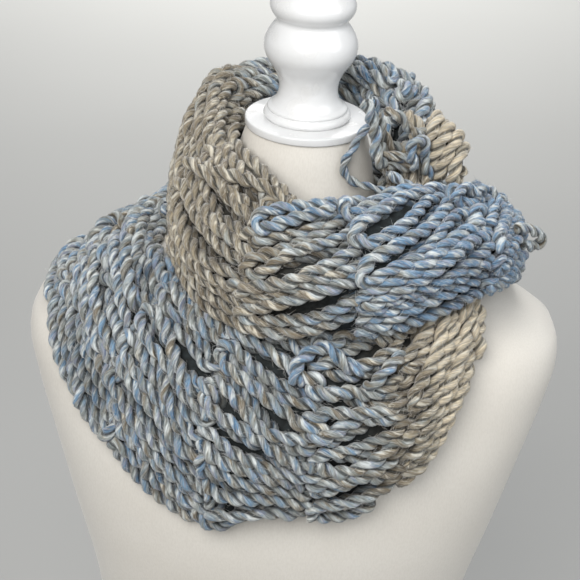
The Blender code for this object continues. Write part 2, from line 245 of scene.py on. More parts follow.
def makeFinial(material):
    foot = torso["neckTop"] + 2 * neckCap["gap"] + neckCap["thick"]
    line = [Vector((0.0, 0.0)), Vector(finial["outline"][0][:2])]
    for radius, height, bow, steps in finial["outline"][1:]:
        start, way = line[-1].copy(), Vector((radius, height)) - line[-1]
        side = Vector((way.y, -way.x)).normalized()
        line += [start + way * i / steps + side * bow * math.sin(math.pi * i / steps)
                 for i in range(1, steps + 1)]
    turned = bmesh.new()
    spots = [turned.verts.new((max(spot.x, 0.0), 0.0, foot + spot.y)) for spot in line]
    edges = [turned.edges.new(pair) for pair in zip(spots, spots[1:])]
    bmesh.ops.spin(turned, geom=spots + edges, axis=(0, 0, 1), cent=(0, 0, 0), angle=2 * math.pi,
                   steps=finial["steps"], use_merge=True, use_duplicate=False)
    bmesh.ops.remove_doubles(turned, verts=turned.verts, dist=1e-6)
    bmesh.ops.recalc_face_normals(turned, faces=turned.faces)
    pieceFrom("turned_finial", turned, material, ["form_finial"], finial["crease"])


jerseyCloth = {"deep": (0.735, 0.700, 0.640), "light": (0.775, 0.745, 0.690), "rib": (0.60, 0.565, 0.505),
               "ribShare": 0.22, "mottleScale": 9.0, "ribScale": (900.0, 900.0, 320.0), "pillScale": 420.0,
               "bump": (0.28, 0.0004), "roughness": (0.78, 0.95)}
paint = {"clean": (0.79, 0.795, 0.80), "dusty": (0.74, 0.74, 0.735), "brushScale": (30.0, 30.0, 260.0),
         "dustScale": 60.0, "bump": (0.12, 0.0003), "roughness": (0.20, 0.34)}


def jerseyLook(wire):
    place = wire.objectPlace()
    mottle = wire.noise(place, jerseyCloth["mottleScale"], 3.0).ramped(0.3, 0.7)
    ribs = wire.noise(place.stretched(jerseyCloth["ribScale"]), 1.0, 1.0)
    pill = wire.noise(place, jerseyCloth["pillScale"])
    colour = mottle.blend(jerseyCloth["deep"], jerseyCloth["light"])
    colour = ribs.ramped(0.30, 0.75, 0.0, jerseyCloth["ribShare"]).blend(colour, jerseyCloth["rib"])
    return {"Base Color": colour, "Normal": (ribs + pill * 0.6).bump(*jerseyCloth["bump"]),
            "Roughness": pill.ramped(0.2, 0.8, *jerseyCloth["roughness"])}


def paintLook(wire):
    place = wire.objectPlace()
    brushed = wire.noise(place.stretched(paint["brushScale"]), 1.0, 3.0)
    dust = wire.noise(place, paint["dustScale"], 4.0).ramped(0.45, 0.75)
    return {"Base Color": dust.blend(paint["clean"], paint["dusty"]), "Normal": brushed.bump(*paint["bump"]),
            "Roughness": dust.ramped(0.0, 1.0, *paint["roughness"])}


jersey = makeFinish("cream jersey", {"Sheen Weight": 0.25, "Sheen Roughness": 0.4}, jerseyLook)
gloss = makeFinish("white gloss paint", {"Coat Weight": 0.35, "Coat Roughness": 0.12}, paintLook)
makeTorso(jersey)
makeNeckCap(gloss)
makeFinial(gloss)
print("dress form built")

# the scarf's form: one knitted band, wound twice round the neck and joined end to end
band = {
    "wall": 0.0120, "middle": 0.0070,  # thickness of the knit, and how deep its middle lies
    "clear": 0.0014, "clearRounds": 10, "clearStep": 0.004,  # how far its back stays off the torso
    "wales": 6, "rows": 19, "finePerRow": 30, "fineAcross": 65,
    "rowAngles": (80, 128, 178, 229, 298, 345, 378, 418, 450, 490,
                  530, 570, 610, 640, 669, 698, 727, 752, 776, 800),
    "sections": (  # angle, then radius and height at neck edge, crest, swell and hem
        (80, 0.051, 0.660, 0.068, 0.686, 0.084, 0.676, 0.094, 0.646),
        (100, 0.053, 0.670, 0.071, 0.702, 0.091, 0.694, 0.104, 0.652),
        (120, 0.058, 0.677, 0.079, 0.714, 0.106, 0.707, 0.115, 0.656),
        (150, 0.058, 0.681, 0.077, 0.719, 0.101, 0.710, 0.116, 0.655),
        (180, 0.057, 0.680, 0.075, 0.714, 0.096, 0.706, 0.113, 0.652),
        (210, 0.056, 0.681, 0.075, 0.713, 0.097, 0.702, 0.112, 0.648),
        (240, 0.055, 0.680, 0.074, 0.712, 0.092, 0.699, 0.106, 0.641),
        (270, 0.050, 0.676, 0.067, 0.700, 0.090, 0.680, 0.102, 0.630),
        (300, 0.051, 0.665, 0.071, 0.689, 0.102, 0.661, 0.111, 0.611),
        (325, 0.056, 0.655, 0.077, 0.681, 0.120, 0.645, 0.125, 0.594),
        (345, 0.065, 0.644, 0.084, 0.672, 0.135, 0.640, 0.137, 0.588),
        (360, 0.066, 0.643, 0.086, 0.669, 0.145, 0.639, 0.142, 0.589),
        (385, 0.070, 0.648, 0.090, 0.676, 0.153, 0.646, 0.149, 0.594),
        (410, 0.088, 0.658, 0.107, 0.682, 0.164, 0.653, 0.161, 0.606),
        (430, 0.112, 0.651, 0.129, 0.667, 0.166, 0.643, 0.166, 0.598),
        (450, 0.114, 0.631, 0.130, 0.651, 0.163, 0.630, 0.172, 0.578),
        (480, 0.108, 0.610, 0.126, 0.631, 0.158, 0.602, 0.170, 0.547),
        (510, 0.102, 0.604, 0.120, 0.624, 0.146, 0.590, 0.150, 0.522),
        (540, 0.098, 0.604, 0.116, 0.624, 0.140, 0.586, 0.140, 0.515),
        (570, 0.100, 0.601, 0.118, 0.619, 0.146, 0.584, 0.150, 0.518),
        (600, 0.101, 0.595, 0.118, 0.610, 0.148, 0.586, 0.168, 0.531),
        (630, 0.101, 0.593, 0.120, 0.609, 0.155, 0.594, 0.180, 0.549),
        (650, 0.100, 0.591, 0.119, 0.607, 0.160, 0.588, 0.177, 0.530),
        (670, 0.100, 0.586, 0.120, 0.597, 0.164, 0.549, 0.166, 0.468),
        (690, 0.101, 0.580, 0.123, 0.585, 0.164, 0.520, 0.148, 0.431),
        (703, 0.099, 0.581, 0.124, 0.585, 0.164, 0.519, 0.148, 0.425),
        (720, 0.097, 0.583, 0.126, 0.584, 0.163, 0.521, 0.145, 0.439),
        (740, 0.099, 0.587, 0.130, 0.590, 0.167, 0.526, 0.154, 0.449),
        (755, 0.100, 0.592, 0.131, 0.597, 0.169, 0.549, 0.165, 0.482),
        (768, 0.100, 0.597, 0.124, 0.604, 0.159, 0.577, 0.168, 0.534),
        (780, 0.084, 0.620, 0.107, 0.629, 0.138, 0.605, 0.156, 0.570),
        (792, 0.064, 0.647, 0.082, 0.667, 0.100, 0.654, 0.110, 0.624),
        (800, 0.051, 0.660, 0.068, 0.686, 0.084, 0.676, 0.094, 0.646))}
stretches = {  # solid: first and last knitted row, flat width and length, slot
    "scarf_neck_loop": ((0, 2), (0.10, 0.26), "yarn"),
    "scarf_upper_front_wrap": ((3, 7), (0.13, 0.43), "yarn"),
    "scarf_back_wrap": ((8, 11), (0.14, 0.40), "yarn"),
    "scarf_lower_front_wrap": ((12, 16), (0.16, 0.39), "yarn"),
    "scarf_right_rise": ((17, 18), (0.10, 0.13), "beige_yarn")}


def turnedOut(angle, flat):  # spots (radius, height) of the section at this angle, in space
    turn = np.radians(angle)
    return np.stack([flat[..., 0] * np.sin(turn), -flat[..., 0] * np.cos(turn), flat[..., 1]], axis=-1)


def sectionLine(angle):  # middle of the wall and way out, at each place across the band
    places = np.linspace(0.0, 1.0, band["fineAcross"])
    corners = tableAt(band["sections"], angle)[0].reshape(4, 2)
    reach = np.concatenate([[0.0], np.cumsum(np.linalg.norm(np.diff(corners, axis=0), axis=1))])
    skin = tableAt(np.column_stack([reach / reach[-1], corners]), places)
    runs = np.gradient(skin, axis=0)
    out = np.stack([-runs[:, 1], runs[:, 0]], axis=-1) / np.linalg.norm(runs, axis=1)[:, None]
    backs = skin - out * band["wall"]
    cleared = backs
    for _ in range(band["clearRounds"]):
        cleared = movedClear(cleared, band["clear"], band["clearStep"], nudge=0.0004,
                             inSpace=lambda flat: turnedOut(angle, flat))
    middle = skin + cleared - backs - out * band["middle"]
    return turnedOut(angle, middle), turnedOut(angle, out)


fineRows = np.arange(band["rows"] * band["finePerRow"] + 1) / band["finePerRow"]
fineAngles = np.interp(fineRows, np.arange(band["rows"] + 1), band["rowAngles"])
middleGrid, outGrid = (np.array(part) for part in zip(*(sectionLine(angle) for angle in fineAngles)))
print("band form worked out")


def onBand(row, across, depth=0.0):  # points at row round the band and across from neck edge to hem
    row = np.mod(np.asarray(row, float), band["rows"]) * band["finePerRow"]
    across = np.clip(np.asarray(across, float), 0.0, 1.0) * (band["fineAcross"] - 1)
    i = np.minimum(row.astype(int), len(fineRows) - 2)
    j = np.minimum(across.astype(int), band["fineAcross"] - 2)
    u, v = (row - i)[..., None], (across - j)[..., None]
    middle, out = ((grid[i, j] * (1 - u) + grid[i + 1, j] * u) * (1 - v)
                   + (grid[i, j + 1] * (1 - u) + grid[i + 1, j + 1] * u) * v
                   for grid in (middleGrid, outGrid))
    return middle + out * np.asarray(depth, float)[..., None]


# the knit: where the yarn runs on the band
knit = {
    "leg": (  # one leg of a stitch: across from its middle in stitches, along in rows, depth
        (-0.50, -0.06, -0.0026), (-0.34, -0.02, -0.0010), (-0.19, 0.06, 0.0026), (-0.21, 0.16, 0.0024),
        (-0.27, 0.34, 0.0010), (-0.28, 0.56, 0.0002), (-0.27, 0.78, -0.0004), (-0.22, 0.95, -0.0018),
        (-0.12, 1.05, -0.0028), (0.0, 1.08, -0.0030)),
    "spreadWithin": 0.4,  # legs spread only this near to their stitch's middle
    "climb": ((0.02, 0.00), (0.25, 0.10), (0.50, 0.14), (0.75, 0.10)),  # along in rows, stitches past the edge
    "climbDepth": -0.0005, "margin": 0.026, "step": 0.0040,
    "starts": {(0, 0): 0.62, (0, 1): 0.76, (0, 2): 0.72},  # row and stitch at the seam: how late it begins
    "tints": (0.58, 0.58, 0.50, -0.10, -0.12, 0.32, 0.86, 0.94, 0.60, 0.50,  # warm to blue, row by row
              0.50, 0.50, 0.50, 0.54, 0.54, 0.50, 0.44, -0.40, -0.40, 0.30),
    "slants": (0, 0, 0, 0, 0.4, -2.0, -2.0, -2.2, 0, 0.6,  # stitches that each row leans across
               -0.6, 0.5, 0, 0.2, 0.8, 1.9, 0.3, -0.6, 0),
    "openingReach": 0.7, "openingPower": 2.5,
    "openings": {  # row: place across, how far the strands part, and how late in the row
        0: ((4.6, 0.15, 1.0),), 1: ((3.0, 0.20, 0.8),), 2: ((4.1, 0.25, 1.2),),
        3: ((1.9, 0.20, 1.0), (4.0, 0.30, 0.7)), 4: ((2.9, 0.18, 1.4), (4.2, 0.20, 0.8)),
        5: ((0.9, 0.24, 1.5), (2.1, 0.22, 1.4), (3.5, 0.52, 0.8), (4.9, 0.30, 1.1)),
        6: ((1.0, 0.13, 0.9), (2.2, 0.14, 1.5), (3.3, -0.22, 0.7), (4.7, 0.28, 1.2)),
        7: ((2.4, 0.35, 1.0), (4.0, 0.25, 0.7)), 8: ((1.9, 0.30, 0.8), (4.1, 0.35, 1.2)),
        9: ((3.0, 0.45, 1.0),), 10: ((2.0, 0.40, 1.2), (4.2, 0.30, 0.8)), 11: ((3.1, 0.40, 0.9),),
        12: ((1.8, 0.20, 1.2), (4.0, 0.35, 1.6)), 13: ((1.0, 0.34, 1.8), (2.9, 0.22, 1.8)),
        14: ((1.6, 0.22, 3.4), (3.6, 0.16, 0.8), (5.3, 0.14, 1.7)),
        15: ((1.2, 0.10, 1.6), (2.5, 0.18, 1.5), (4.4, 0.04, 0.9)),
        16: ((2.0, -0.30, 0.8), (3.0, -0.25, 0.8), (4.4, -0.20, 0.9)),
        17: ((3.0, 0.15, 1.0),), 18: ((1.7, 0.50, 2.2),)}}
uneven = {  # how far the legs of a hand-made stitch are from the plain one
    "spread": (0.55, 1.30), "bow": 0.22, "bends": 5.0, "lift": 0.0032, "late": (0.8, 1.25),
    "phase": (0.0, 6.3), "lean": 0.08, "along": 0.025, "ripple": (0.0012, 7.0),
    "sway": (0.09, 1.9, 1.3)}  # stitches aside, and how fast that changes with each stitch and each row
behind = {  # strands between and behind the stitches
    "count": 6, "depth": -0.0044, "fullRows": (12, 17), "fullCount": 8, "fullDepth": -0.0018,
    "spots": (0.02, 0.35, 0.65, 0.98), "drift": 0.7, "aside": 0.2, "lift": 0.001,
    "thickness": 0.94, "step": 0.0024}
chance = random.Random(41)


def eitherWay(most):
    return chance.uniform(-most, most)


def smoothLine(points, step, fineSteps=12, fewest=3):  # points spaced by step on a smooth line through these
    points = np.asarray(points, float)
    padded = np.concatenate([[2 * points[0] - points[1]], points, [2 * points[-1] - points[-2]]])
    before, start, end, after = padded[:-3], padded[1:-2], padded[2:-1], padded[3:]
    t = np.linspace(0.0, 1.0, fineSteps, endpoint=False)[:, None, None]
    fine = 0.5 * (2 * start + (end - before) * t + (2 * before - 5 * start + 4 * end - after) * t ** 2
                  + (3 * start - before - 3 * end + after) * t ** 3)
    fine = np.concatenate([fine.transpose(1, 0, 2).reshape(-1, points.shape[1]), points[-1:]])
    reach = np.concatenate([[0.0], np.cumsum(np.linalg.norm(np.diff(fine[:, :3], axis=0), axis=1))])
    even = np.linspace(0.0, reach[-1], max(int(round(reach[-1] / step)), fewest) + 1)
    return np.stack([np.interp(even, reach, fine[:, k]) for k in range(points.shape[1])], axis=-1)


def tintAt(rows):
    return np.interp(rows, [*(np.arange(band["rows"]) + 0.5), band["rows"]], knit["tints"])


def aslant(row, along, place):  # this row's strands lean across the band, least at its edges
    inside = 1 - (2 * unit(place / band["wales"]) - 1) ** 2
    return place + knit["slants"][row] * (unit(along) - 0.5) * inside


def parted(row, along, place):  # strands of this row stand aside of its openings
    for furrow, width, late in knit["openings"].get(row, ()):
        reach = place - furrow
        near = math.copysign(math.exp(-(reach / knit["openingReach"]) ** 2), reach)
        place += math.sin(math.pi * unit(along) ** late) ** knit["openingPower"] * width * near
    return place


def knitRow(row):  # key points (row, stitch, depth) of one knitted row and its climb to the next
    keys = []
    for wale in range(band["wales"]):
        start = knit["starts"].get((row, wale), 0.0)
        lean = uneven["lean"] * (-1) ** (wale + row)
        for side in (1, -1):  # the two legs differ in spread, bow and height
            spread, bow = chance.uniform(*uneven["spread"]), eitherWay(uneven["bow"])
            phase, lift = chance.uniform(*uneven["phase"]), eitherWay(uneven["lift"])
            late = chance.uniform(*uneven["late"])
            for across, along, depth in (knit["leg"] if side == 1 else knit["leg"][-2:0:-1]):
                along = start + (1 - start) * along
                share = unit(along)
                middle = math.sin(math.pi * share ** late)
                sway, byWale, byRow = uneven["sway"]
                ripple, ripples = uneven["ripple"]
                place = wale + 0.5 + side * across * (spread if abs(across) < knit["spreadWithin"] else 1.0)
                place += (middle * (lean + bow * math.sin(uneven["bends"] * share + phase))
                          + sway * math.sin(byWale * wale + byRow * (row + along)))
                if row % 2:  # every second row is knitted back
                    place = band["wales"] - place
                keys.append((row + along + eitherWay(uneven["along"]),
                             aslant(row, along, parted(row, along, place)),
                             depth + middle * (lift + ripple * math.sin(ripples * share + phase))))
    for along, over in knit["climb"]:
        keys.append((row + along, -over if row % 2 else band["wales"] + over, knit["climbDepth"]))
    return keys


def backRow(row):  # key points of the strands between and behind the stitches of a row
    keys, full = [], behind["fullRows"][0] <= row <= behind["fullRows"][1]
    count, depth = (behind["fullCount"], behind["fullDepth"]) if full else (behind["count"], behind["depth"])
    for k in range(count):
        if (row, k) in knit["starts"]:
            continue
        place, drift = (k + 0.5) * band["wales"] / count, eitherWay(behind["drift"])
        for along in behind["spots"][::-1 if k % 2 else 1]:
            spot = parted(row, along, place + drift * (along - 0.5) + eitherWay(behind["aside"]))
            keys.append((row + along, aslant(row, along, spot), depth + eitherWay(behind["lift"])))
    return keys[::-1] if row % 2 else keys


def strandsOf(rowKeys):  # for each stretch, one strand: place, tint, row and place across of its spots
    strands = {}
    for name, ((first, last), _, _) in stretches.items():
        keys = np.array([key for row in range(first, last + 1) for key in rowKeys(row)])
        rows, across = keys[:, 0], knit["margin"] + (1 - 2 * knit["margin"]) * keys[:, 1] / band["wales"]
        points = onBand(rows, across, keys[:, 2])
        strands[name] = smoothLine(np.column_stack([points, tintAt(rows), rows, across]), knit["step"])
    return strands


def withHeight(strand):  # place, tint, height over the knit's middle and way out of each spot
    base = onBand(strand[:, 4], strand[:, 5])
    out = onBand(strand[:, 4], strand[:, 5], np.ones(len(strand))) - base
    out /= np.linalg.norm(out, axis=1)[:, None]
    return np.column_stack([strand[:, :4], ((strand[:, :3] - base) * out).sum(axis=1), out])


settling = {
    "rounds": 30, "newPairs": 3,  # rounds in all, and until near spots are looked for again
    "apart": 0.0080, "spare": 0.001,  # least distance of strands, and what is added to look for near spots
    "skipped": 4,  # neighbours on one strand that don't push each other
    "push": 0.22, "evening": 0.12, "holding": 0.03,  # shares done in one round
    "offTorso": 0.0054, "most": 0.003}


def nearPairs(points, owner):  # pairs of spots that lie close together, not next to each other on one strand
    tree = KDTree(len(points))
    for i, point in enumerate(points):
        tree.insert(point, i)
    tree.balance()
    reach = settling["apart"] + settling["spare"]
    return np.array([(i, j) for i, point in enumerate(points) for _, j, _ in tree.find_range(point, reach)
                     if j > i and (owner[i] != owner[j] or j - i > settling["skipped"])])


def settle(strands):  # pushes strands apart where they meet, evens their bends, keeps them off the torso
    points = np.concatenate([strand[:, :3] for strand in strands])
    owner = np.repeat(np.arange(len(strands)), [len(strand) for strand in strands])
    anchor, inner = points.copy(), np.flatnonzero((owner[:-2] == owner[2:])) + 1
    for step in range(settling["rounds"]):
        if step % settling["newPairs"] == 0:
            pairs = nearPairs(points, owner)
        gap = points[pairs[:, 1]] - points[pairs[:, 0]]
        apart = np.maximum(np.linalg.norm(gap, axis=1), 1e-6)
        short = np.clip(settling["apart"] - apart, 0.0, settling["most"])
        push = gap * (short / apart * settling["push"])[:, None]
        np.add.at(points, pairs[:, 0], -push)
        np.add.at(points, pairs[:, 1], push)
        points[inner] += settling["evening"] * ((points[inner - 1] + points[inner + 1]) / 2 - points[inner])
        points += settling["holding"] * (anchor - points)
        points = movedClear(points, settling["offTorso"], settling["most"], nudge=0.0005)
    start = 0
    for strand in strands:
        strand[:, :3] = points[start:start + len(strand)]
        start += len(strand)


# yarn: two plies twisted together, with fibres that stand off it
yarn = {
    "plyRadius": 0.0032, "plyOffset": 0.0021, "spotsPerPly": 8,
    "twist": 0.0240,  # the plies turn once in this length
    "thicker": (0.08, 0.031, 9), "thinner": (0.05, 0.0113, 5),  # waves of its thickness: size, length, phase
    "slacker": (0.9, 0.037, 7), "offset": (0.0, 3.0),  # waves of its turn, and where a strand is in them
    "step": 0.0020, "ends": (0.01, 0.80), "sealed": 0.0002, "slot": "yarn"}
fuzz = {
    "radius": 0.00010, "corners": (0.0, 2.1, 4.2), "taper": (1.0, 0.8, 0.35), "length": (0.0032, 0.0085),
    "perSpot": 4.0, "off": (0.0026, 0.0042),  # fibres for each spot of a strand, and how far out they begin
    "forward": (0.2, 0.6), "outward": ((0.05, 0.30), (-0.15, 0.35)), "curl": 0.2}


def plyOutline():  # two round plies side by side, as one closed outline
    radius, offset, count = yarn["plyRadius"], yarn["plyOffset"], yarn["spotsPerPly"]
    limit = math.acos(-offset / radius)
    turns = [-limit + 2 * limit * i / count for i in range(count)]
    half = [(offset + radius * math.cos(turn), radius * math.sin(turn)) for turn in turns]
    return half + [(-x, -y) for x, y in half]


def profileItem(name, spots):  # a closed flat outline for curves to be swept with
    curve = bpy.data.curves.new(name, "CURVE")
    curve.dimensions = "2D"
    spline = curve.splines.new("POLY")
    spline.points.add(len(spots) - 1)
    spline.points.foreach_set("co", [value for x, y in spots for value in (x, y, 0.0, 1.0)])
    spline.use_cyclic_u = True
    return linked(name, curve)


def sweep(name, profile, lines):  # one mesh swept along lines, each of points, thickness and turn
    curve = bpy.data.curves.new(name, "CURVE")
    curve.dimensions, curve.twist_mode = "3D", "MINIMUM"
    curve.bevel_mode, curve.bevel_object = "OBJECT", profile
    for points, thickness, turn in lines:
        spline = curve.splines.new("POLY")
        spline.points.add(len(points) - 1)
        spline.points.foreach_set("co", np.column_stack([points, np.ones(len(points))]).ravel())
        spline.points.foreach_set("radius", thickness)
        spline.points.foreach_set("tilt", turn)
    item = linked(name + "_line", curve)
    bpy.context.view_layer.update()
    mesh = bpy.data.meshes.new_from_object(item.evaluated_get(bpy.context.evaluated_depsgraph_get()))
    bpy.data.objects.remove(item)
    return mesh


plySpots = plyOutline()
plyItem = profileItem("ply_outline", plySpots)
fibreItem = profileItem("fibre_outline", [(fuzz["radius"] * math.cos(turn), fuzz["radius"] * math.sin(turn))
                                          for turn in fuzz["corners"]])


def setAttribute(mesh, name, values):
    kind, field = ("FLOAT_VECTOR", "vector") if values.ndim == 2 else ("FLOAT", "value")
    mesh.attributes.new(name, kind, "POINT").data.foreach_set(field, values.ravel())


def wave(along, start, size, length, phase):
    return size * np.sin(along / length + start * phase)


def spinYarn(name, strand, material, nodes=(), thickness=1.0, step=yarn["step"]):
    line, start = smoothLine(strand, step), chance.uniform(*yarn["offset"])
    along = np.arange(len(line)) * step
    swell = 1 + wave(along, start, *yarn["thicker"]) + wave(along, start, *yarn["thinner"])
    swell[[0, -1]], swell[[1, -2]] = yarn["ends"]
    turn = 2 * math.pi * along / yarn["twist"] + start + wave(along, start, *yarn["slacker"])
    mesh = sweep(name, plyItem, [(line[:, :3], swell * thickness, turn)])
    corners = np.empty(len(mesh.vertices) * 3)
    mesh.vertices.foreach_get("co", corners)
    rings = np.repeat(line, len(plySpots), axis=0)  # the line's values, for each corner of the tube
    height = rings[:, 4] + ((corners.reshape(-1, 3) - rings[:, :3]) * rings[:, 5:8]).sum(axis=1)
    places = np.column_stack([np.tile(plySpots, (len(line), 1)), np.repeat(along + start, len(plySpots))])
    setAttribute(mesh, "yarn", places)
    setAttribute(mesh, "tint", rings[:, 3])
    setAttribute(mesh, "height", height)
    tube = bmesh.new()
    tube.from_mesh(mesh)
    ends = [vertex for vertex in tube.verts if vertex.is_boundary]
    bmesh.ops.remove_doubles(tube, verts=ends, dist=yarn["sealed"])
    return pieceFrom(name, tube, material, nodes)


def makeFuzz(name, strand, material):  # short loose fibres that stand off the yarn
    draws, count = np.random.default_rng(len(strand)), int(len(strand) * fuzz["perSpot"])
    at = draws.integers(1, len(strand) - 1, count)
    way = (strand[at + 1, :3] - strand[at - 1, :3]) * draws.choice((-1.0, 1.0), (count, 1))
    way /= np.linalg.norm(way, axis=1)[:, None] + 1e-9
    side = np.cross(way, draws.normal(size=(count, 3)))
    side /= np.linalg.norm(side, axis=1)[:, None] + 1e-9
    curl, length = np.cross(way, side), draws.uniform(*fuzz["length"], count)[:, None]
    spots = [strand[at, :3] + side * draws.uniform(*fuzz["off"], (count, 1))]
    for outward in fuzz["outward"]:
        forward = way * draws.uniform(*fuzz["forward"], (count, 1))
        aside = side * draws.uniform(*outward, (count, 1))
        curled = curl * draws.normal(0.0, fuzz["curl"], (count, 1))
        spots.append(spots[-1] + length * (forward + aside + curled))
    mesh = sweep(name, fibreItem, [(np.array(line), fuzz["taper"], (0.0, 0.0, 0.0)) for line in zip(*spots)])
    setAttribute(mesh, "tint", np.repeat(strand[at, 3], len(fuzz["corners"]) * len(fuzz["taper"])))
    return pieceFrom(name, mesh, material, ())


wool = {  # colours of the yarn, as pairs where it goes from one to the other; crease, shaded, shadeSheet and shadeSheetDark are painted shade
    "warm": ((0.23, 0.190, 0.132), (0.415, 0.357, 0.256)), "beige": ((0.86, 0.75, 0.56), (0.62, 0.525, 0.38)),
    "grey": ((0.265, 0.294, 0.288), (0.485, 0.526, 0.512)), "lilac": (0.35, 0.36, 0.47),
    "blue": ((0.265, 0.425, 0.60), (0.112, 0.240, 0.405)), "tan": (0.28, 0.25, 0.205),
    "pale": ((0.76, 0.705, 0.58), (0.74, 0.785, 0.785)), "groove": (0.40, 0.41, 0.42),
    "hair": (0.74, 0.74, 0.72), "crease": (0.14, 0.15, 0.155), "fuzzTip": (0.80, 0.80, 0.78),
    "shaded": ((0.23, 0.22, 0.205), (0.18, 0.22, 0.25)), "fuzz": ((0.68, 0.62, 0.53), (0.58, 0.64, 0.70)),
    "shadeSheet": ((0.060, 0.054, 0.044), (0.040, 0.050, 0.054)), "shadeSheetDark": (0.022, 0.024, 0.024)}
shares = {  # the most that is laid over the colour below
    "lilac": 0.62, "tan": 0.48, "pale": 0.92, "groove": 0.74, "hair": 0.42, "crease": 0.88, "shaded": 0.88}
streaks = {  # width, length, shift, detail
    "family": (0.0080, 0.014, 0.0, 2.0), "pale": (0.0048, 0.0070, 11.0, 3.0),
    "tan": (0.0052, 0.0075, 23.0, 3.0), "lilac": (0.0045, 0.0065, 67.0, 3.0),
    "fibre": (0.0012, 0.0060, 37.0, 3.0), "hair": (0.0006, 0.0040, 51.0, 2.0)}


def yarnLook(wire):
    place, tint, height = wire.attribute("yarn", 1), wire.attribute("tint"), wire.attribute("height")
    across, side, along = (wire.add("ShaderNodeSeparateXYZ", None, {0: place}, k) for k in range(3))
    ply = across.ramped(-0.0003, 0.0003)
    grooveShadeMask = wire.maths("SQRT", across * across + side * side).ramped(0.0024, 0.0042)

    def streak(wide, long, shift, detail):  # uneven streaks that run along each ply
        spot = wire.add("ShaderNodeCombineXYZ", None, {"X": across * (1 / wide) + ply * 7.3 + shift,
                                                       "Y": side * (1 / wide), "Z": along * (1 / long)})
        return wire.noise(spot, 1.0, detail)

    family, pale, tan, lilac, fibre, hair = (streak(*sizes) for sizes in streaks.values())
    beige = tan.ramped(0.35, 0.62).blend(*wool["beige"])
    warm = family.ramped(0.40, 0.62).blend(*wool["warm"])
    warm = tint.ramped(-0.30, -0.08, 1.0, 0.0).blend(warm, beige)
    grey = pale.ramped(0.38, 0.60).blend(*wool["grey"])
    blue = tan.ramped(0.36, 0.60).blend(*wool["blue"])
    depth = tint + (family - 0.5) * 1.6 + (ply - 0.5) * 0.20  # from warm through grey to blue
    cool = depth.ramped(0.12, 0.42)
    colour = depth.ramped(0.42, 0.84).blend(cool.blend(warm, grey), blue)
    bluish = depth.ramped(0.30, 0.60)
    colour = (lilac.ramped(0.53, 0.62, 0.0, shares["lilac"]) * bluish).blend(colour, wool["lilac"])
    colour = tan.ramped(0.56, 0.66, 0.0, shares["tan"]).blend(colour, wool["tan"])
    colour = pale.ramped(0.53, 0.64, 0.0, shares["pale"]).blend(colour, cool.blend(*wool["pale"]))
    colour = fibre.ramped(0.34, 0.60, shares["groove"], 0.0).blend(colour, wool["groove"], "MULTIPLY")
    colour = hair.ramped(0.50, 0.70, 0.0, shares["hair"]).blend(colour, wool["hair"])
    # painted shade: the grooves between the two plies are darkened towards the crease colour
    colour = grooveShadeMask.ramped(0.0, 1.0, shares["crease"], 0.0).blend(colour, wool["crease"], "MULTIPLY")
    shaded = tint.ramped(0.3, 0.8).blend(*wool["shaded"])  # painted shade: the deeper in the knit, the darker
    colour = height.ramped(-0.0040, 0.0058, shares["shaded"], 0.0).blend(colour, shaded, "MULTIPLY")
    return {"Base Color": colour, "Normal": (fibre + hair * 0.6).bump(0.9, 0.0012),
            "Roughness": fibre.ramped(0.3, 0.7, 0.92, 0.66)}


def fuzzLook(wire):
    cloud = wire.noise(wire.objectPlace(), 300.0, 1.0)
    colour = (wire.attribute("tint") + cloud - 0.5).ramped(0.1, 0.8).blend(*wool["fuzz"])
    return {"Base Color": cloud.ramped(0.50, 0.62).blend(colour, wool["fuzzTip"]),
            "Roughness": cloud.ramped(0.3, 0.7, 0.8, 0.6)}


# painted shade: the dark colours of the sheet seen through the gaps between strands
def shadeSheetLook(wire):
    fluff = wire.noise(wire.objectPlace(), 260.0, 4.0, 0.6)
    colour = wire.attribute("tint").ramped(0.1, 0.6).blend(*wool["shadeSheet"])
    return {"Base Color": fluff.ramped(0.25, 0.85).blend(wool["shadeSheetDark"], colour),
            "Normal": fluff.bump(0.6, 0.001), "Roughness": fluff.ramped(0.3, 0.7, 0.96, 0.88)}


woolly = makeFinish("heathered two-ply yarn", {"Sheen Weight": 0.42, "Sheen Roughness": 0.45,
                                               "Specular IOR Level": 0.20}, yarnLook)
loose = makeFinish("loose fibres", {"Sheen Weight": 0.4, "Specular IOR Level": 0.2}, fuzzLook)
shade = makeFinish("shaded inside of the knit", {"Specular IOR Level": 0.1}, shadeSheetLook)

# painted shade: a close, dark inner layer of each stretch, standing for the shade between its strands
shadeSheet = {"across": 32, "perRow": 10, "depth": -0.0064, "thick": 0.0012,
          "edge": 0.020, "ends": 0.004}  # how far inside the band: a share of its width, and of one row


def makeShadeSheet(name, firstRow, lastRow, material):
    rows = lastRow + 1 - firstRow
    cloth = bmesh.new()
    bmesh.ops.create_grid(cloth, x_segments=shadeSheet["across"], y_segments=rows * shadeSheet["perRow"], size=0.5)
    spots = np.array([(vertex.co.x + 0.5, vertex.co.y + 0.5) for vertex in cloth.verts])
    along = firstRow + shadeSheet["ends"] + spots[:, 1] * (rows - 2 * shadeSheet["ends"])
    across = shadeSheet["edge"] + (1 - 2 * shadeSheet["edge"]) * spots[:, 0]
    for vertex, point in zip(cloth.verts, onBand(along, across, np.full(len(spots), shadeSheet["depth"]))):
        vertex.co = point
    piece = pieceFrom(name + "_shade_sheet", cloth, material, ())
    setAttribute(piece.data, "tint", tintAt(along))
    wall = piece.modifiers.new("thickness", "SOLIDIFY")
    wall.thickness, wall.offset = shadeSheet["thick"], 0.0
    return piece


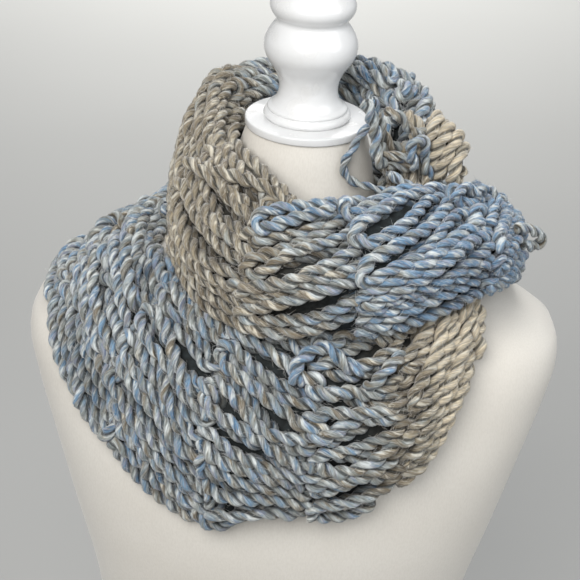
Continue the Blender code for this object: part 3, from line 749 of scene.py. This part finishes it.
frontStrands, backStrands = strandsOf(knitRow), strandsOf(backRow)
settle([*frontStrands.values(), *backStrands.values()])
lengths = [np.linalg.norm(np.diff(strand[:, :3], axis=0), axis=1).sum() for strand in frontStrands.values()]
print("yarn laid,", round(sum(lengths), 1), "m of it")
frontStrands = {name: withHeight(strand) for name, strand in frontStrands.items()}
backStrands = {name: withHeight(strand) for name, strand in backStrands.items()}
for name, ((first, last), flatSize, slot) in stretches.items():
    front = spinYarn(name + "_yarn", frontStrands[name], woolly, [name])
    back = spinYarn(name + "_back_yarn", backStrands[name], woolly, (),
                    behind["thickness"], behind["step"])
    fluff = makeFuzz(name + "_fuzz", frontStrands[name], loose)
    cloth = makeShadeSheet(name, first, last, shade)
    faces = len(front.data.polygons) + len(back.data.polygons)
    area = sum(face.area for face in cloth.data.polygons)
    print(name, faces, "faces,", len(fluff.data.polygons), "of fuzz, cloth of", round(area, 4), "m2")

# the wound knot at the seam
knot = {
    "start": (0.0840, -0.0130, 0.7040), "end": (0.1140, -0.0270, 0.6725), "lead": (-0.012, 0.004, 0.012),
    "turns": 4.7, "steps": 100, "radius": 0.0120, "oval": 1.15,
    "slim": 0.78, "taper": 0.66, "taperFrom": 0.78,  # shares: width at its start, lost at its end, from where
    "wobble": (0.07, 2.3), "tilt": (0.0045, 0.3), "tint": -0.25, "thickness": 1.06,
    "core": 0.01008, "coreReach": 0.46, "slot": "beige_yarn"}


def plainStrand(spots, tint, height=0.0045):  # a strand off the knit, lit as if this high over it
    points = smoothLine(spots, knit["step"])
    return np.column_stack([points, np.tile((tint, height, 0.0, 0.0, 0.0), (len(points), 1))])


def makeKnot(material, fibres):
    start, end = Vector(knot["start"]), Vector(knot["end"])
    way = (end - start).normalized()
    first = way.cross(Vector((0.0, 0.0, 1.0))).normalized()
    second = way.cross(first) * knot["oval"]
    wobble, wobbles = knot["wobble"]
    tilt, ahead = knot["tilt"]
    wound = []
    for i in range(knot["steps"] + 1):
        share = i / knot["steps"]
        turn = 2 * math.pi * knot["turns"] * share
        ending = max(share - knot["taperFrom"], 0.0) / (1 - knot["taperFrom"])
        wide = knot["slim"] + (1 - knot["slim"]) * math.sin(math.pi * share) - knot["taper"] * ending
        wide *= knot["radius"] * (1 + wobble * math.sin(wobbles * turn))
        wound.append(start.lerp(end, share) + wide * (math.cos(turn) * first + math.sin(turn) * second)
                     + way * tilt * math.sin(turn + ahead))
    strand = plainStrand([wound[0] + Vector(knot["lead"])] + wound, knot["tint"])
    spinYarn("seam_knot_yarn", strand, material, ["scarf_seam_knot"], knot["thickness"])
    makeFuzz("seam_knot_fuzz", strand, fibres)
    core = bmesh.new()
    bmesh.ops.create_icosphere(core, subdivisions=3, radius=1.0)
    for vertex in core.verts:
        x, y, z = vertex.co
        middle = start.lerp(end, knot["coreReach"] + knot["coreReach"] * z)
        vertex.co = middle + knot["core"] * (x * first + y * second)
    pieceFrom("seam_knot_core", core, material, ())


# strands that hang from the seam, lie over the knit or curl at its edges
looseStrands = (  # thickness, tint, then each spot in millimetres
    (0.62, 0.70, ((45, -36, 731), (48, -30, 721), (46, -28, 710), (39, -32, 701), (33, -39, 691),
                  (28, -41, 682), (30, -41, 673), (38, -41, 667), (49, -44, 666), (62, -47, 664))),
    (0.72, 0.25, ((52, -52, 728), (59, -51, 726), (65, -48, 722), (70, -44, 714), (78, -36, 706),
                  (86, -20, 702))),
    (0.76, 0.62, ((79, -39, 679), (76, -45, 690), (74, -47, 699), (78, -45, 704), (84, -38, 701),
                  (86, -31, 687), (88, -33, 677), (97, -15, 660))),
    (0.72, 0.30, ((53, -46, 692), (60, -43, 691), (69, -41, 689), (78, -31, 685))),
    (0.72, 0.20, ((57, -45, 683), (65, -39, 681), (74, -35, 678), (82, -25, 673))),
    (1.00, 0.15, ((49, -14, 712), (53, -20, 702), (58, -22, 693), (65, -20, 687), (74, -10, 682))),
    (1.00, 0.20, ((48, -18, 698), (53, -23, 690), (59, -23, 683), (66, -20, 677), (75, -10, 672))),
    (0.85, 0.55, ((58, -52, 682), (67, -51, 676), (77, -50, 670), (88, -48, 662), (98, -45, 663),
                  (104, -36, 665))),
    (0.92, 0.50, ((39, -51, 735), (45, -48, 720), (49, -46, 706), (50, -48, 694), (57, -46, 682))),
    (0.95, -0.10, ((-79, -51, 680), (-62, -65, 681), (-44, -73, 680), (-28, -79, 678), (-13, -89, 674),
                   (-7, -98, 671))),
    (0.90, -0.10, ((-51, 3, 690), (-52, -15, 686), (-46, -31, 683), (-34, -52, 682), (-22, -70, 678),
                   (-12, -83, 675), (-5, -94, 670))),
    (0.95, -0.10, ((-85, -52, 683), (-72, -66, 681), (-59, -73, 674), (-46, -81, 670), (-36, -90, 667))),
    (0.95, 0.66, ((25, -96, 675), (7, -95, 672), (-12, -99, 671), (-27, -104, 668), (-31, -110, 665),
                  (-26, -115, 662), (-11, -111, 666), (6, -105, 670), (23, -101, 673))),
    (1.00, 0.75, ((8, -138, 559), (2, -147, 564), (3, -143, 573), (11, -137, 580), (22, -134, 583),
                  (31, -137, 578), (38, -139, 571), (46, -136, 567), (53, -127, 566))),
    (0.95, 0.50, ((75, -116, 571), (73, -130, 576), (67, -139, 574), (60, -144, 567), (54, -144, 560),
                  (50, -136, 555))),
    (1.10, 0.44, ((-155, -14, 587), (-153, -2, 596), (-143, 8, 605), (-132, 4, 605), (-124, -18, 603))),
    (1.10, 0.60, ((-127, -6, 601), (-125, 14, 606), (-118, 30, 607), (-108, 34, 607), (-102, 18, 608))),
    (0.80, 0.38, ((151, -64, 650), (162, -52, 644), (172, -42, 636), (175, -38, 630), (171, -38, 624),
                  (160, -52, 632))),
    (0.66, 0.75, ((103, -88, 678), (109, -74, 680), (116, -60, 678), (121, -58, 672), (127, -46, 670),
                  (133, -32, 664), (138, -36, 664), (140, -50, 658))))

makeKnot(woolly, loose)
for number, (thickness, tint, spots) in enumerate(looseStrands, 1):
    strand = plainStrand(np.array(spots) / 1000, tint)
    spinYarn("loose_strand_%d" % number, strand, woolly, thickness=thickness)
bpy.data.objects.remove(plyItem)
bpy.data.objects.remove(fibreItem)
print("knot wound, loose strands laid")

# stage and light
stage = {"floor": (0.45, 0.45, 0.44), "shadedShare": 0.93, "size": 9.0}
room = {"colour": (0.86, 0.88, 0.90, 1.0), "strength": 0.37}
lights = (  # place, aimed at, size, watts, colour
    ((-0.38, -1.30, 1.66), (0.0, 0.0, 0.6), 1.1, 26.6, (1.0, 0.985, 0.96)),
    ((1.30, -0.60, 1.60), (0.0, 0.0, 0.6), 1.2, 10.0, (0.95, 0.975, 1.0)),
    ((0.10, 0.90, 1.70), (0.0, 0.0, 0.65), 0.9, 7.0, (1.0, 1.0, 1.0)),
    ((-0.10, 3.00, 1.40), (-0.10, 3.00, 0.0), 1.6, 46.0, (1.0, 0.995, 0.97)))


def floorLook(wire):
    cloud = wire.noise(wire.objectPlace(), 1.2, 2.0)
    shaded = tuple(stage["shadedShare"] * value for value in stage["floor"])
    return {"Base Color": cloud.blend(stage["floor"], shaded),
            "Roughness": cloud.ramped(0.3, 0.7, 0.75, 0.85)}


floorShape = bmesh.new()
bmesh.ops.create_grid(floorShape, x_segments=1, y_segments=1, size=stage["size"])
floorMesh = bpy.data.meshes.new("floor")
floorShape.to_mesh(floorMesh)
floorShape.free()
floorMesh.materials.append(makeFinish("pale floor", {}, floorLook))
floor = linked("floor", floorMesh)

for number, (place, target, size, watts, colour) in enumerate(lights, 1):
    lamp = bpy.data.lights.new("soft light %d" % number, "AREA")
    lamp.shape, lamp.size, lamp.energy, lamp.color = "DISK", size, watts, colour
    item = linked(lamp.name, lamp)
    item.location = place
    item.rotation_euler = (Vector(target) - Vector(place)).to_track_quat("-Z", "Y").to_euler()
world = bpy.data.worlds.new("soft room")
world.use_nodes = True
background = world.node_tree.nodes["Background"]
background.inputs["Color"].default_value = room["colour"]
background.inputs["Strength"].default_value = room["strength"]
bpy.context.scene.world = world
bpy.context.scene.view_settings.view_transform = "Standard"
print("stage and lights set")
